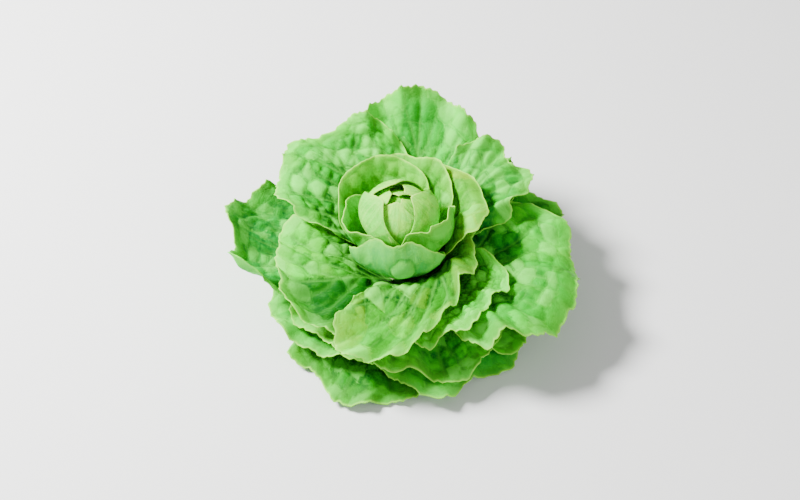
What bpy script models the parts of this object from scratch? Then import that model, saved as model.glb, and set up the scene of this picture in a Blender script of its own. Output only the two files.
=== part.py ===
"""A butterhead lettuce, cut at the stem and standing on the cut: open outer leaves round a closed heart.

Each leaf is its own solid. A leaf is drawn in a half-plane through the stem's axis, as a curve of distance
from a hub ring inside the crown and of climb angle about that ring, and then turned round the axis.
Leaves are laid from the lowest to the innermost, and each rests on those below it, so none cross.
"""

import math
from dataclasses import dataclass

import bmesh
import bpy
import numpy as np

# Lengths are in millimetres up to the last step, which turns them into Blender's metres.
MM = 0.001

# Colours of the living plant: the open leaves, the paler ones round the heart, the heart and the cut stem.
OUTER_GREEN = (0.14, 0.52, 0.06)
INNER_GREEN = (0.36, 0.66, 0.12)
HEART_GREEN = (0.62, 0.80, 0.28)
STEM_CREAM = (0.78, 0.82, 0.60)

# The crown is the knob on the stem that the leaves grow from. Its side is round about a ring, the hub,
# of this radius at this height, and a leaf's reach and climb are counted from the hub.
HUB_RADIUS = 4.0
HUB_HEIGHT = 28.0
CROWN_REACH = 16.4
ROOT_REACH = 17.0

# The cut stem below the crown.
CUT_RADIUS = 14.0
STEM_WAIST_HEIGHT = 9.0
STEM_SIDES = 24

# The blades: their thickness, the rib on the underside, and the powers that round their outline.
BLADE = 0.8
RIB = 1.5
RIB_END = 0.85
RIB_HALF_WIDTH = 0.17
OUTLINE_SIDE_POWER = 2.5
OUTLINE_TIP_POWER = 2.2
SIDE_END = 0.85
EDGE_EASE_REACH = 50.0
BLADE_ROWS = 6
OUTER_COLUMNS = 18
INNER_COLUMNS = 14

# How one leaf lies on another: the gap between them as (reach, gap), and the grid that it is worked out on.
GAPS = [(17, 1.4), (45, 2.5), (95, 4.0)]
FLOOR_GAP = 0.3
REACH_STEP = 1.0
REACH_END = 190.0
TURN_CELLS = 300
SETTLE_REACH_CELLS = 9
SETTLE_TURN_CELLS = 7
STEEPEST = 3.5
REST_BLEND = 2.0

# The head leans a little back and to one side: the drift in mm per mm of height, once past the crown.
LEAN = (-0.11, 0.13)
LEAN_START = 30.0
LEAN_EASE = 30.0


@dataclass
class Leaf:
    """One leaf: the way it points, the climb of its root and the course of its midline in (radius, height).

    cup, fold and tilt lift its sides, curl turns its rim down, sweep swings its tip round in degrees, and
    ruffle, waves and phase wave its edge. lobe is how uneven its outline is. outline, where given, is the
    blade's length across its width, in points of (v, share of the length) from one side to the other.
    """

    name: str
    azimuth: float
    root: float
    course: list
    width: float
    cup: float = 0.0
    fold: float = 0.0
    tilt: float = 0.0
    curl: float = 3.0
    sweep: float = 0.0
    ruffle: float = 7.0
    waves: float = 5.0
    phase: float = 0.0
    lobe: float = 0.04
    outline: tuple = ()
    inner: bool = False


# The front leaf is longest to the left and short on the right, where it stands up against the heart.
FRONT_OUTLINE = (
    (-1, 0.56), (-0.85, 0.81), (-0.7, 0.95), (-0.5, 0.98), (-0.25, 0.86), (0, 0.73), (0.2, 0.60), (0.5, 0.52),
    (0.8, 0.50), (1, 0.42),
)

LEAVES = [
    # The lowest ring lies on the ground.
    Leaf("ground_leaf_front_left", 246, -48, [(46, 13), (92, 11), (132, 4)], 138, phase=0.4),
    Leaf("ground_leaf_front_right", 297, -45, [(46, 14), (88, 12), (124, 5)], 142, phase=2.1),
    Leaf("ground_leaf_left", 207, -44, [(50, 17), (92, 20), (122, 24)], 132, phase=1.0, cup=6),
    Leaf("ground_leaf_right", 345, -43, [(50, 16), (95, 16), (127, 16)], 130, phase=3.0),
    Leaf("ground_leaf_back_right", 42, -45, [(50, 16), (95, 20), (130, 24)], 130, phase=4.0),
    Leaf("ground_leaf_back", 100, -42, [(50, 17), (95, 22), (128, 26)], 128, phase=5.2),
    Leaf("ground_leaf_back_left", 155, -38, [(50, 20), (95, 25), (132, 31)], 130, phase=0.9),
    # The second ring half shows from under the upper leaves.
    Leaf("low_leaf_front_left", 231, -25, [(45, 31), (82, 33), (110, 24)], 134, phase=2.4),
    Leaf("low_leaf_front_right", 286, -20, [(45, 31), (85, 31), (118, 17)], 142, phase=0.2),
    Leaf("low_leaf_left", 176, -14, [(50, 34), (98, 40), (132, 54), (149, 72)], 124, cup=14, phase=1.8,
         curl=0),
    Leaf("low_leaf_right", 20, -18, [(50, 34), (95, 43), (140, 50)], 108, cup=4, phase=3.9),
    Leaf("low_leaf_back_right", 52, -10, [(48, 40), (86, 58), (122, 76)], 108, phase=5.0),
    Leaf("low_leaf_back_left", 112, -12, [(48, 39), (90, 58), (124, 74)], 120, phase=2.7),
    # The upper ring is the broad open leaves that face the eye.
    Leaf("open_leaf_back", 81, 3, [(46, 47), (88, 76), (119, 103), (127, 115)], 114, phase=0.5, curl=0,
         lobe=0.015),
    Leaf("open_leaf_right", 340, 0, [(46, 42), (90, 57), (128, 62), (150, 54)], 156, phase=1.3, curl=5),
    Leaf("open_leaf_front_right", 307, 7, [(43, 45), (68, 55), (94, 48), (112, 34)], 110, phase=4.4, tilt=18),
    Leaf("open_leaf_front_left", 230, 12, [(40, 50), (59, 63), (86, 64), (114, 54)], 122, fold=-14, tilt=-24,
         sweep=-34, phase=3.3, curl=0),
    Leaf("open_leaf_back_right", 35, 9, [(43, 50), (68, 70), (98, 82), (125, 78)], 78, phase=2.2),
    Leaf("open_leaf_back_left", 132, 15, [(41, 52), (64, 76), (96, 88), (126, 83)], 134, phase=0.1, curl=5),
    Leaf("open_leaf_front", 308, 24, [(38, 54), (53, 72), (67, 74), (88, 65), (108, 52), (122, 38)], 150,
         tilt=22, sweep=-32, phase=5.5, curl=2, lobe=0.02, outline=FRONT_OUTLINE),
    # The wrappers stand round the heart.
    Leaf("wrapper_leaf_right", 24, 31, [(35, 55), (49, 74), (60, 92), (75, 89)], 96, ruffle=4,
         lobe=0.02, inner=True),
    Leaf("wrapper_leaf_back", 72, 36, [(34, 56), (49, 77), (61, 101)], 88, ruffle=4, phase=2.0,
         lobe=0.02, inner=True),
    Leaf("wrapper_leaf_back_left", 118, 42, [(32, 57), (47, 79), (57, 104)], 104, ruffle=3, phase=1.0,
         lobe=0.015, inner=True),
    Leaf("wrapper_leaf_front", 264, 45, [(35, 56), (49, 73), (51, 88), (42, 104)], 98, ruffle=2, phase=5.0,
         curl=0, lobe=0.01, inner=True),
    Leaf("wrapper_leaf_left", 196, 50, [(31, 58), (44, 78), (47, 98)], 98, ruffle=2, phase=4.0, curl=0,
         lobe=0.015, inner=True),
    Leaf("wrapper_leaf_front_right", 322, 55, [(29, 58), (42, 76), (45, 96), (40, 107)], 92, ruffle=2,
         phase=3.0, curl=0, lobe=0.015, inner=True),
]

# The heart is a closed bud on the crown: its outer course in (radius, height), from its foot to its tip,
# the cupped leaves that make it, and the solid core that their lower parts are sunk in.
HEART_COURSE = [
    (5, 46), (10, 52), (17, 59), (24, 67), (31, 77), (35, 88), (33, 100), (25, 109), (14, 115), (0, 119),
]
HEART_LEAVES = 8
HEART_FIRST_AZIMUTH = 205.0
HEART_STEP = 137.5
HEART_SHRINK = 0.048
HEART_HEIGHT_SHARE = 0.38
HEART_BLADE = 0.8
HEART_ROWS = 4
HEART_COLUMNS = 8
CORE_SIDES = 18
CORE_SHARE = 0.95
CORE_STEP = 83.0
BUD_SHARE = 0.62
BUD_START = 88.0
BUD_RISE = 0.83


def smooth_course(points, per_span=24):
    """A smooth curve through the points, as rows of (radius, height)."""
    p = np.array(points, float)
    p = np.vstack([2 * p[0] - p[1], p, 2 * p[-1] - p[-2]])
    t = np.linspace(0, 1, per_span, endpoint=False)[:, None]
    spans = [
        0.5
        * (
            2 * p[i]
            + (p[i + 1] - p[i - 1]) * t
            + (2 * p[i - 1] - 5 * p[i] + 4 * p[i + 1] - p[i + 2]) * t**2
            + (3 * p[i] - p[i - 1] - 3 * p[i + 1] + p[i + 2]) * t**3
        )
        for i in range(1, len(p) - 2)
    ]
    return np.vstack([*spans, p[-2]])


def wrapped(turn):
    """An angle brought to within half a turn of zero."""
    return (turn + math.pi) % (2 * math.pi) - math.pi


def rib_depth(v, share):
    """How far the midrib stands out of the underside, deepest at the root and fading towards the tip."""
    return RIB * np.clip(1 - share / RIB_END, 0, 1) * np.clip(1 - np.abs(v) / RIB_HALF_WIDTH, 0, 1)


class Blade:
    """A leaf's midline and outline, worked out from its course and width."""

    def __init__(self, leaf):
        self.leaf = leaf
        root = math.radians(leaf.root)
        start = (HUB_RADIUS + ROOT_REACH * math.cos(root), HUB_HEIGHT + ROOT_REACH * math.sin(root))
        line = smooth_course([start, *leaf.course])
        self.radius = line[:, 0]
        out, up = line[:, 0] - HUB_RADIUS, line[:, 1] - HUB_HEIGHT
        self.reach = np.maximum.accumulate(np.hypot(out, up))
        self.reach += np.linspace(0, 1e-6, len(line))
        self.climb = np.arctan2(up, out)
        self.along = np.concatenate([[0], np.cumsum(np.hypot(*np.diff(line, axis=0).T))])
        self.length = self.along[-1]
        share = np.clip(self.along / self.length, 0, 1)
        side = (1 - share**OUTLINE_TIP_POWER) ** (1 / OUTLINE_SIDE_POWER)
        self.half_turn = 0.5 * leaf.width / (self.radius * side).max()

    def edge_share(self, v):
        """The blade's length along the ray at v as a share of its whole length, before the lobes."""
        if self.leaf.outline:
            return np.interp(v, *smooth_course(self.leaf.outline).T)
        return np.clip(1 - np.abs(v) ** OUTLINE_SIDE_POWER, 1e-4, 1) ** (1 / OUTLINE_TIP_POWER)

    def edge_length(self, v):
        """How far the blade runs along the ray at v, from -1 at one side through 0 at the midline to 1."""
        round_edge = 2 / math.pi * np.arcsin(np.clip(v, -1, 1))
        leaf = self.leaf
        lobes = np.sin(4.3 * math.pi * round_edge + 2 * leaf.phase)
        lobes = 1 + leaf.lobe * (lobes + 0.6 * np.sin(6.1 * math.pi * round_edge + 5 * leaf.phase))
        return self.length * lobes * self.edge_share(v)

    def turn_at(self, v, along):
        """The angle round the axis of a point of the blade."""
        share = along / self.length
        return math.radians(self.leaf.azimuth) + math.radians(self.leaf.sweep) * share**2 + v * self.half_turn

    def place(self, reach, turn):
        """(along, v, u) of a point of the hub's coordinates; u is 1 at the blade's edge."""
        along = np.interp(reach, self.reach, self.along)
        past = np.maximum(reach - self.reach[-1], 0)
        along = along + past
        share = along / self.length
        middle = math.radians(self.leaf.azimuth) + math.radians(self.leaf.sweep) * share**2
        v = wrapped(turn - middle) / self.half_turn
        return along, v, along / self.edge_length(v)

    def wanted_climb(self, reach, turn):
        """The climb angle that the leaf would take with nothing under it."""
        leaf = self.leaf
        along, v, u = self.place(reach, turn)
        radius = np.interp(reach, self.reach, self.radius)
        across = np.clip(v, -1, 1) * self.half_turn * radius / (0.5 * leaf.width)
        share = np.clip(along / self.length, 0, 1.1)
        u = np.clip(u, 0, 1.1)
        rise = (leaf.cup * across**2 + leaf.tilt * across) * share
        rise = rise + leaf.fold * (np.sqrt(across**2 + 0.04) - 0.2) * share
        round_edge = 2 / math.pi * np.arcsin(np.clip(v, -1, 1))
        edge_rise = leaf.ruffle * u**3 * np.sin(leaf.waves * math.pi * round_edge + leaf.phase)
        edge_rise = edge_rise - leaf.curl * np.clip((u - 0.75) / 0.25, 0, 1.4) ** 2
        rise = rise + edge_rise * np.clip((reach - ROOT_REACH) / EDGE_EASE_REACH, 0, 1)
        return np.interp(reach, self.reach, self.climb) + rise / reach


def spread(field, reach_cells, turn_cells, widest):
    """The field's running maximum, or its running mean, over a window; the turn axis closes on itself."""
    for axis, cells in ((1, turn_cells), (0, reach_cells)):
        if axis == 1:
            shifted = [np.roll(field, k, axis=1) for k in range(-cells, cells + 1)]
        else:
            padded = np.pad(field, ((cells, cells), (0, 0)), mode="edge")
            shifted = [padded[k : k + len(field)] for k in range(2 * cells + 1)]
        field = np.max(shifted, axis=0) if widest else np.mean(shifted, axis=0)
    return field


def rested(wanted, top, gap, blend):
    """The climb of a blade that wants one course and lies at least a gap above what is under it."""
    support = spread(top + gap, SETTLE_REACH_CELLS, SETTLE_TURN_CELLS, True)
    support = spread(support, SETTLE_REACH_CELLS, SETTLE_TURN_CELLS, False)
    above = wanted - support
    return support + 0.5 * (above + np.hypot(above, blend))


def lay_leaves(leaves):
    """Each blade with its climb field, laid in order on the ground and on the blades below."""
    reach = np.arange(ROOT_REACH, REACH_END, REACH_STEP)[:, None]
    turn = np.linspace(0, 2 * math.pi, TURN_CELLS, endpoint=False)[None, :]
    gap = np.interp(reach, *zip(*GAPS))
    ground = -np.arcsin(np.clip((HUB_HEIGHT - BLADE / 2 - FLOOR_GAP) / reach, 0, 1))
    top = ground - gap / reach + np.zeros_like(turn)
    blades = []
    for leaf in leaves:
        blade = Blade(leaf)
        wanted = blade.wanted_climb(reach, turn)
        along, v, u = blade.place(reach, turn)
        near = (u < 1.08) & (np.abs(v) < 1.05)
        own_gap = gap + rib_depth(v, along / blade.length)
        blade.field = rested(wanted, top, own_gap / reach, REST_BLEND / reach)
        steep = reach * np.gradient(blade.field, REACH_STEP, axis=0)
        wide_gap = own_gap * np.clip(np.hypot(1, steep), 1, STEEPEST)
        blade.field = rested(wanted, top, wide_gap / reach, REST_BLEND / reach)
        top = np.where(near, np.maximum(top, blade.field), top)
        blades.append(blade)
    return blades


def field_at(field, reach, turn):
    """The field between its grid points."""
    i = np.clip((reach - ROOT_REACH) / REACH_STEP, 0, len(field) - 1.001)
    j = (turn % (2 * math.pi)) / (2 * math.pi) * TURN_CELLS
    i0, j0 = np.floor(i).astype(int), np.floor(j).astype(int)
    fi, fj = i - i0, j - j0
    j0, j1 = j0 % TURN_CELLS, (j0 + 1) % TURN_CELLS
    low = field[i0, j0] * (1 - fj) + field[i0, j1] * fj
    high = field[i0 + 1, j0] * (1 - fj) + field[i0 + 1, j1] * fj
    return low * (1 - fi) + high * fi


def blade_points(blade, rows, columns):
    """The blade's middle surface as a grid of points, and the depth of its rib at each."""
    w = np.linspace(-SIDE_END, SIDE_END, columns + 1)[None, :]
    v = np.sin(w * math.pi / 2)
    g = np.linspace(0, 1, rows + 1)[:, None]
    u = 1 - (1 - g) ** 1.25
    along = u * blade.edge_length(v)
    reach = np.interp(along, blade.along, blade.reach) + np.maximum(along - blade.length, 0)
    turn = blade.turn_at(v, along)
    climb = field_at(blade.field, reach, turn)
    radius = HUB_RADIUS + reach * np.cos(climb)
    height = HUB_HEIGHT + reach * np.sin(climb)
    points = np.stack([radius * np.cos(turn), radius * np.sin(turn), height], axis=-1)
    return points, rib_depth(v, along / blade.length)


def sheet_solid(points, thickness, rib=0.0):
    """(vertices, triangles) of a thin solid round a grid of points, split alike on both faces.

    The rib is a depth for each point, added to the underside.
    """
    du, dv = np.gradient(points, axis=0), np.gradient(points, axis=1)
    normal = np.cross(du, dv)
    normal /= np.linalg.norm(normal, axis=-1, keepdims=True)
    rows, columns = points.shape[0] - 1, points.shape[1] - 1
    below = np.broadcast_to(thickness / 2 + rib, points.shape[:2])[..., None]
    upper = (points + normal * thickness / 2).reshape(-1, 3)
    lower = (points - normal * below).reshape(-1, 3)
    many = len(upper)

    def at(i, j):
        return i * (columns + 1) + j

    faces = []
    for i in range(rows):
        for j in range(columns):
            a, b, c, d = at(i, j), at(i + 1, j), at(i + 1, j + 1), at(i, j + 1)
            halves = [(a, b, c), (a, c, d)] if j < columns / 2 else [(a, b, d), (b, c, d)]
            faces += halves
            faces += [(many + p, many + r, many + q) for p, q, r in halves]
    rim = [at(i, 0) for i in range(rows + 1)]
    rim += [at(rows, j) for j in range(1, columns + 1)]
    rim += [at(i, columns) for i in range(rows - 1, -1, -1)]
    rim += [at(0, j) for j in range(columns - 1, 0, -1)]
    for p, q in zip(rim, rim[1:] + rim[:1]):
        faces += [(q, p, many + p), (q, many + p, many + q)]
    return np.vstack([upper, lower]), faces


def heart_shell(leaf_number, rows, columns):
    """The middle surface of one heart leaf: a share of the heart's shell, sunk at its root."""
    size = 1 - HEART_SHRINK * leaf_number
    rise = 1 - HEART_HEIGHT_SHARE * (1 - size)
    course = smooth_course(HEART_COURSE)
    along = np.concatenate([[0], np.cumsum(np.hypot(*np.diff(course, axis=0).T))])
    along /= along[-1]
    g = np.linspace(0, 1, rows + 1)[:, None]
    w = np.linspace(-1, 1, columns + 1)[None, :]
    rim = 0.85 + 0.016 * leaf_number - 0.28 * np.abs(w) ** 2.4 + 0.012 * np.sin(5 * w + 2.1 * leaf_number)
    t = 0.40 + (rim - 0.40) * g
    half_turn = math.radians(74 + 4 * leaf_number)
    azimuth = math.radians(HEART_FIRST_AZIMUTH + HEART_STEP * leaf_number)
    turn = azimuth + w * half_turn * (0.72 + 0.28 * np.sin(g * math.pi))
    sink = 1 - 0.16 * np.clip(1 - g / 0.5, 0, 1) ** 1.5
    radius = np.interp(t, along, course[:, 0]) * size * sink
    height = HEART_COURSE[0][1] + (np.interp(t, along, course[:, 1]) - HEART_COURSE[0][1]) * rise
    return np.stack([radius * np.cos(turn), radius * np.sin(turn), height + 0 * turn], axis=-1)


def turned_solid(course, sides):
    """(vertices, faces) of a solid turned round the axis; the course runs from the axis to the axis."""
    inner = course[1:-1]
    vertices = [(0, 0, course[0][1]), (0, 0, course[-1][1])]
    for radius, height in inner:
        for k in range(sides):
            turn = 2 * math.pi * k / sides
            vertices.append((radius * math.cos(turn), radius * math.sin(turn), height))

    def at(ring, k):
        return 2 + ring * sides + k % sides

    faces = [(0, at(0, k + 1), at(0, k)) for k in range(sides)]
    for ring in range(len(inner) - 1):
        faces += [(at(ring, k), at(ring, k + 1), at(ring + 1, k + 1), at(ring + 1, k)) for k in range(sides)]
    faces += [(1, at(len(inner) - 1, k), at(len(inner) - 1, k + 1)) for k in range(sides)]
    return vertices, faces


def leaned(points):
    """The points moved sideways with their height, by the lean of the whole head."""
    points = np.array(points, float)
    past = np.maximum(points[:, 2] - LEAN_START, 0)
    drift = past**2 / (past + LEAN_EASE)
    points[:, 0] += LEAN[0] * drift
    points[:, 1] += LEAN[1] * drift
    return points


def add_object(name, vertices, faces, material):
    mesh = bpy.data.meshes.new(name)
    mesh.from_pydata([tuple(v) for v in leaned(vertices) * MM], [], faces)
    mesh.materials.append(material)
    built = bmesh.new()
    built.from_mesh(mesh)
    bmesh.ops.recalc_face_normals(built, faces=built.faces)
    built.to_mesh(mesh)
    built.free()
    mesh.shade_smooth()
    obj = bpy.data.objects.new(name, mesh)
    bpy.context.scene.collection.objects.link(obj)
    return obj


def plain_material(name, colour, roughness):
    material = bpy.data.materials.new(name)
    material.use_nodes = True
    shader = material.node_tree.nodes["Principled BSDF"]
    shader.inputs["Base Color"].default_value = (*colour, 1)
    shader.inputs["Roughness"].default_value = roughness
    shader.inputs["Metallic"].default_value = 0
    return material


def add_heart(material):
    """The closed heart: its core and the cupped leaves that stand out of it, joined in one solid."""
    course = smooth_course(HEART_COURSE, 3)
    foot = HEART_COURSE[0][1]
    wide = [(r * CORE_SHARE, z) for r, z in course if z < CORE_STEP]
    bud = [(r * BUD_SHARE, foot + (z - foot) * BUD_RISE) for r, z in course if z > BUD_START]
    course = [(0, foot), *wide, *bud]
    heart = add_object("heart", *turned_solid(course, CORE_SIDES), material)
    leaves = bpy.data.collections.new("heart_leaves")
    bpy.context.scene.collection.children.link(leaves)
    for number in range(HEART_LEAVES):
        shell = heart_shell(number, HEART_ROWS, HEART_COLUMNS)
        leaf = add_object(f"heart_leaf_{number}", *sheet_solid(shell, HEART_BLADE), material)
        bpy.context.scene.collection.objects.unlink(leaf)
        leaves.objects.link(leaf)
    union = heart.modifiers.new("join", "BOOLEAN")
    union.operation = "UNION"
    union.operand_type = "COLLECTION"
    union.collection = leaves
    union.solver = "MANIFOLD"
    bpy.context.view_layer.update()
    joined = bpy.data.meshes.new_from_object(heart.evaluated_get(bpy.context.evaluated_depsgraph_get()))
    heart.modifiers.clear()
    heart.data = joined
    for leaf in list(leaves.objects):
        bpy.data.objects.remove(leaf)
    bpy.data.collections.remove(leaves)


def add_stem(material):
    """The stem: its cut face on the ground, and the crown that carries every leaf."""
    climbs = [math.radians(a) for a in range(-54, 91, 18)]
    crown = [(HUB_RADIUS + CROWN_REACH * math.cos(a), HUB_HEIGHT + CROWN_REACH * math.sin(a)) for a in climbs]
    side = [(CUT_RADIUS, 0), (CUT_RADIUS + 0.6, 1.5), (CUT_RADIUS - 0.4, STEM_WAIST_HEIGHT)]
    course = [(0, 0), *side, *crown, (0, crown[-1][1])]
    add_object("stem", *turned_solid(course, STEM_SIDES), material)


def main():
    for obj in list(bpy.data.objects):
        bpy.data.objects.remove(obj)
    for blade in lay_leaves(LEAVES):
        leaf = blade.leaf
        points, rib = blade_points(blade, BLADE_ROWS, INNER_COLUMNS if leaf.inner else OUTER_COLUMNS)
        material = plain_material(leaf.name, INNER_GREEN if leaf.inner else OUTER_GREEN, 0.5)
        add_object(leaf.name, *sheet_solid(points, BLADE, rib), material)
    add_heart(plain_material("heart", HEART_GREEN, 0.45))
    add_stem(plain_material("stem", STEM_CREAM, 0.6))


main()
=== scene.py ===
"""A head of butterhead lettuce: its cut stem, the rings of open leaves, the wrappers and the closed heart."""
import math
from dataclasses import dataclass

import bpy
import numpy as np
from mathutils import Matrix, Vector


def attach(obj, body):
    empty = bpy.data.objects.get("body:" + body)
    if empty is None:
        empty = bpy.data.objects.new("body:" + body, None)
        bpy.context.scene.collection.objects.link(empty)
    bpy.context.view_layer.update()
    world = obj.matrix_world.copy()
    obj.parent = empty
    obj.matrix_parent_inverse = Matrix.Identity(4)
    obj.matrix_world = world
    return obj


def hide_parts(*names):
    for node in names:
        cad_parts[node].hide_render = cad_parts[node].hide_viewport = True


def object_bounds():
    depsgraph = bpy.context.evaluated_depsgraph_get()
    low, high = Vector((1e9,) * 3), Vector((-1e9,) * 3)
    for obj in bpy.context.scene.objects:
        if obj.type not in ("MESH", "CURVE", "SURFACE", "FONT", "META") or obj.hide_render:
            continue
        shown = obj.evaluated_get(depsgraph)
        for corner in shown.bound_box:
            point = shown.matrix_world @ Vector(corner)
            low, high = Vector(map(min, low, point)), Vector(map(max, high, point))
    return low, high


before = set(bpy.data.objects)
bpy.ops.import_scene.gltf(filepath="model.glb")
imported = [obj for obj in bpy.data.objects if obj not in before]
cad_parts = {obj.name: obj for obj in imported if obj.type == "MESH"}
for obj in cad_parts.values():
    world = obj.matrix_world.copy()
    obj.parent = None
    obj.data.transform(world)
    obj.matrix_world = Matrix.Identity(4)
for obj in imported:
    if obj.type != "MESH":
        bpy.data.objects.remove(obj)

packed_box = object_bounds()


# STEM. A short thick stem of firm pale tissue, cut across with a knife below the lowest leaves. The crown
# above the cut is the knob that every leaf grows from, and it is scarred where the oldest leaves broke off.

MM = 0.001
HUB_RADIUS = 4.0
HUB_HEIGHT = 28.0
CROWN_REACH = 16.4
CUT_RADIUS = 14.0
ROUND_SIDES = 96

# The whole head leans a little back and to one side above the crown.
LEAN = (-0.11, 0.13)
LEAN_START = 30.0
LEAN_EASE = 30.0


def leaned(points):
    """Points in mm, moved sideways with their height."""
    points = np.array(points, float)
    past = np.maximum(points[..., 2] - LEAN_START, 0)
    drift = past**2 / (past + LEAN_EASE)
    points[..., 0] += LEAN[0] * drift
    points[..., 1] += LEAN[1] * drift
    return points


def mesh_piece(name, points, faces, node, finish):
    """A smooth piece of the lettuce from points in mm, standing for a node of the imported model."""
    mesh = bpy.data.meshes.new(name)
    mesh.from_pydata(leaned(points) * MM, [], faces)
    mesh.shade_smooth()
    mesh.materials.append(finish)
    piece = bpy.data.objects.new(name, mesh)
    bpy.context.scene.collection.objects.link(piece)
    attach(piece, "root")
    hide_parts(node)
    return piece


def paint(piece, **values):
    """Stores numbers on the piece's points, for its material to read."""
    for name, numbers in values.items():
        attribute = piece.data.attributes.new(name, "FLOAT", "POINT")
        attribute.data.foreach_set("value", np.asarray(numbers, np.float32).ravel())


class Finish:
    """A material, built from its Principled shader outwards."""

    def __init__(self, name):
        self.material = bpy.data.materials.new(name)
        self.material.use_nodes = True
        self.tree = self.material.node_tree
        self.shader = self.tree.nodes["Principled BSDF"]

    def set(self, **values):
        """Values that are the same all over, set on the shader's own sockets."""
        for name, value in values.items():
            self.shader.inputs[name.replace("_", " ")].default_value = value

    def node(self, kind, settings=(), **inputs):
        """A node with its settings, and its inputs by name: a number, a colour or another node's output."""
        made = self.tree.nodes.new("ShaderNode" + kind)
        for name, value in dict(settings).items():
            setattr(made, name, value)
        for name, value in inputs.items():
            self.feed(made.inputs[name.replace("_", " ")], value)
        return made

    def feed(self, socket, value):
        if isinstance(value, bpy.types.NodeSocket):
            self.tree.links.new(value, socket)
        else:
            socket.default_value = value

    def stored(self, name):
        """A number that paint stored on the piece's points."""
        return self.node("Attribute", {"attribute_name": name}).outputs["Fac"]

    def combine(self, operation, a, b):
        """Two values added, taken away or multiplied, and held between 0 and 1."""
        made = self.tree.nodes.new("ShaderNodeMath")
        made.operation = operation
        made.use_clamp = True
        self.feed(made.inputs[0], a)
        self.feed(made.inputs[1], b)
        return made.outputs[0]

    def plus(self, a, b):
        return self.combine("ADD", a, b)

    def less(self, a, b):
        return self.combine("SUBTRACT", a, b)

    def times(self, a, b):
        return self.combine("MULTIPLY", a, b)

    def blend(self, share, first, second):
        """A colour between two colours."""
        made = self.tree.nodes.new("ShaderNodeMix")
        made.data_type = "RGBA"
        self.feed(made.inputs[0], share)
        self.feed(made.inputs[6], first)
        self.feed(made.inputs[7], second)
        return made.outputs[2]

    def steps(self, value, *stops):
        """A value read through a ramp of (place, grey) stops."""
        ramp = self.tree.nodes.new("ShaderNodeValToRGB")
        self.feed(ramp.inputs[0], value)
        line = ramp.color_ramp
        while len(line.elements) < len(stops):
            line.elements.new(1.0)
        for element, (place, grey) in zip(line.elements, stops):
            element.position = place
            element.color = (grey, grey, grey, 1)
        return ramp.outputs[0]


def colour(red, green, blue):
    return (red, green, blue, 1)


STEM_CREAM = colour(0.62, 0.66, 0.36)
STEM_WHITE = colour(0.86, 0.86, 0.66)
STEM_GREEN = colour(0.36, 0.55, 0.16)
STEM_STRAND = colour(0.50, 0.42, 0.18)
STEM_DRIED = colour(0.30, 0.17, 0.06)


def stem_finish():
    """Cream tissue, greener up the side, with a ring of fine strands in the cut and a brown, dried edge."""
    look = Finish("stem_tissue")
    place = look.node("TexCoord").outputs["Object"]
    grain = look.node("TexNoise", Vector=place, Scale=260.0, Detail=4.0).outputs["Fac"]
    strands = look.node("TexVoronoi", Vector=place, Scale=700.0).outputs["Distance"]
    light = look.steps(grain, (0.35, 0), (0.7, 1))
    pale = look.blend(light, STEM_CREAM, STEM_WHITE)
    green = look.blend(look.stored("green"), pale, STEM_GREEN)
    strand = look.times(look.stored("strands"), look.steps(strands, (0.1, 1), (0.5, 0)))
    ringed = look.blend(strand, green, STEM_STRAND)
    brown = look.blend(look.stored("dried"), ringed, STEM_DRIED)
    look.feed(look.shader.inputs["Base Color"], brown)
    bump = look.node("Bump", Height=grain, Strength=0.35, Distance=0.0006)
    look.feed(look.shader.inputs["Normal"], bump.outputs["Normal"])
    look.set(Roughness=0.55)
    return look.material


def turned_faces(rings, sides):
    """Faces of a stack of rings, closed by a point at each end: point 0 below and point 1 above."""
    faces = [(0, 2 + (k + 1) % sides, 2 + k) for k in range(sides)]
    for ring in range(rings - 1):
        for k in range(sides):
            a, b = 2 + ring * sides + k, 2 + ring * sides + (k + 1) % sides
            faces.append((a, b, b + sides, a + sides))
    last = 2 + (rings - 1) * sides
    faces += [(1, last + k, last + (k + 1) % sides) for k in range(sides)]
    return faces


def build_stem():
    """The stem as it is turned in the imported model, with leaf scars, a rounded edge and a ringed cut."""
    sides = ROUND_SIDES
    cut = [(r, 0.0) for r in (3, 6, 8.5, 10.5, 12, 13.2)]
    side = [(CUT_RADIUS, 0.25), (CUT_RADIUS + 0.5, 1.5), (CUT_RADIUS + 0.1, 4.0), (CUT_RADIUS - 0.4, 7.0)]
    side += [(CUT_RADIUS - 0.6, 9.5)]
    crown = [(HUB_RADIUS + (CROWN_REACH - 0.3) * math.cos(math.radians(a)),
              HUB_HEIGHT + (CROWN_REACH - 0.3) * math.sin(math.radians(a))) for a in range(-48, 91, 6)]
    course = np.array([*cut, *side, *crown])
    turn = np.linspace(0, 2 * math.pi, sides, endpoint=False)[None, :]
    height = course[:, 1][:, None]
    scars = 0.35 * np.sin(5 * turn + height / 3.1) * np.sin(height / 1.9 + 3 * np.sin(turn))
    above_cut = np.clip((height - 0.5) / 4, 0, 1)
    radius = course[:, 0][:, None] - 0.35 * above_cut + scars * above_cut * (height < 20)
    rings = np.stack([radius * np.cos(turn), radius * np.sin(turn), height + 0 * turn], axis=-1)
    points = [(0, 0, 0), (0, 0, course[-1, 1]), *rings.reshape(-1, 3)]
    stem = mesh_piece("cut_stem", points, turned_faces(len(course), sides), "stem", stem_finish())
    points = np.array(points)
    from_axis = np.hypot(points[:, 0], points[:, 1])
    flat = points[:, 2] < 0.1
    paint(
        stem,
        green=np.clip((points[:, 2] - 1.5) / 14, 0, 0.8),
        strands=np.exp(-(((from_axis - 9) / 1.8) ** 2)) * flat,
        dried=np.where(flat, 0.25 + 0.5 * (from_axis > 12.5), 0.55 * np.exp(-((points[:, 2] / 1.2) ** 2))),
    )


build_stem()


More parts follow.
